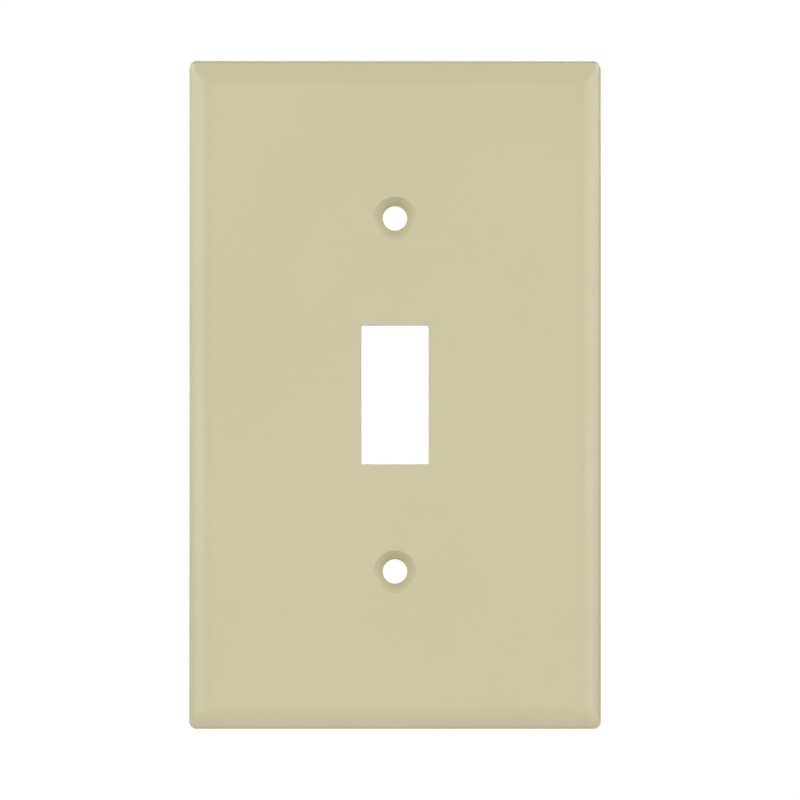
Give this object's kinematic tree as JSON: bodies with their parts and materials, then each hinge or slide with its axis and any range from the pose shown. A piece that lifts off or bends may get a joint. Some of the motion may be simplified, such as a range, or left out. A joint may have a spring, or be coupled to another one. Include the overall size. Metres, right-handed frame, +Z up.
{
  "type": "toggle switch wall plate",
  "caption": "Flat cover plate for a single-gang toggle switch: soft rounded borders, a rectangular toggle opening, sunk screw holes and a ribbed hollow back.",
  "frame": {"origin": "on the wall plane, where the rim's back face bears on the wall, midway between the screw holes", "axes": "+Z up as installed, along the line of the screw holes; -Y out of the wall through the visible face; +X to the right as seen from the front"},
  "size_m": [0.0706, 0.0056, 0.1142],
  "materials": {
    "ivory_plastic": "semi-gloss moulded ivory plastic, duller on the back"
  },
  "bodies": {
    "root": {"wall_plate": "ivory_plastic"}
  },
  "joints": []
}
